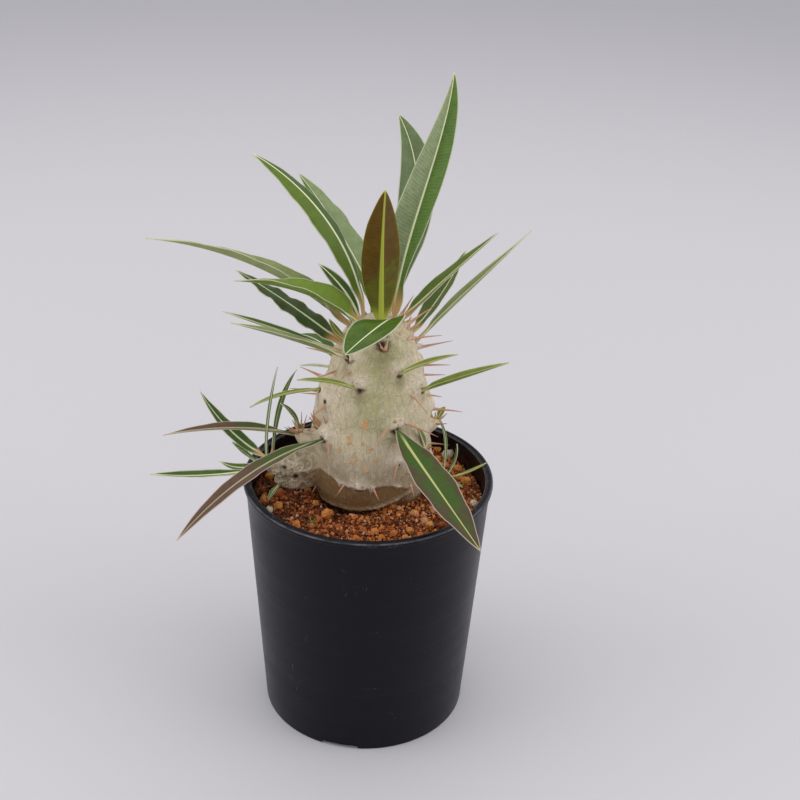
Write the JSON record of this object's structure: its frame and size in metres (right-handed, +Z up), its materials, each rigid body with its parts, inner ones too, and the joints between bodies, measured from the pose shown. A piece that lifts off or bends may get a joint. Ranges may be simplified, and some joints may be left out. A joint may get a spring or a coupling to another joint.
{
  "type": "potted succulent",
  "caption": "Spiny bottle-shaped succulent with a crown of narrow wavy leaves, in reddish grit in a tapered black nursery pot.",
  "frame": {"origin": "centre of the pot's foot, on the plane that it rests on", "axes": "+Z up along the pot's axis. -Y faces the viewer of the picture, and +X is to that viewer's right."},
  "size_m": [0.1317, 0.1105, 0.2314],
  "materials": {
    "pot_plastic": "satin black moulded plastic with fine turned rings and scuffs",
    "grit": "dry reddish-brown volcanic grit with ochre and white lumps",
    "bark": "silvery grey-green living bark, finely streaked, with tan flakes, scars and pinkish spines",
    "leaf_green": "satin mid-green leaf with a cream midrib and pale margins",
    "leaf_bright": "satin yellow-green leaf with a cream midrib",
    "leaf_bronze": "olive-bronze leaf underside with a yellow-green midrib",
    "leaf_purple": "purple-brown mottled leaf with a beige midrib and pinkish margins"
  },
  "bodies": {
    "root": {"pot": "pot_plastic", "soil": "grit", "trunk": "bark", "leaf_crown_tall": "leaf_green", "leaf_crown_back": "leaf_green", "leaf_crown_left_tall": "leaf_bright", "leaf_crown_left_back": "leaf_green", "leaf_crown_bronze": "leaf_bronze", "leaf_crown_left_small": "leaf_green", "leaf_crown_left_arched": "leaf_bright", "leaf_crown_left_long": "leaf_green", "leaf_crown_front": "leaf_green", "leaf_crown_right": "leaf_green", "leaf_right_dark": "leaf_green", "leaf_right_long": "leaf_green", "leaf_left_dark": "leaf_green", "leaf_left_tiny": "leaf_green", "leaf_left_narrow": "leaf_green", "leaf_left_narrow_low": "leaf_bright", "leaf_trunk_right_high": "leaf_green", "leaf_trunk_right_low": "leaf_green", "leaf_trunk_front": "leaf_green", "leaf_trunk_left": "leaf_bright", "leaf_trunk_left_stub": "leaf_green", "leaf_trunk_low": "leaf_green", "leaf_droop_right": "leaf_purple", "leaf_droop_left": "leaf_purple", "leaf_rear_left": "leaf_green", "leaf_rear_middle": "leaf_green", "leaf_rear_right": "leaf_purple", "leaf_shoot_purple": "leaf_purple", "leaf_shoot_hook": "leaf_green", "leaf_shoot_broad": "leaf_green", "leaf_shoot_bud": "leaf_green", "leaf_shoot_level": "leaf_green", "leaf_shoot_short": "leaf_green", "leaf_shoot_upright_left": "leaf_green", "leaf_shoot_upright_right": "leaf_green", "leaf_shoot_foot": "leaf_green", "leaf_right_shoot_strand": "leaf_green", "leaf_right_shoot_hook": "leaf_green", "leaf_right_shoot_side": "leaf_green", "leaf_right_shoot_low": "leaf_green", "leaf_right_bud": "leaf_green"}
  },
  "joints": []
}
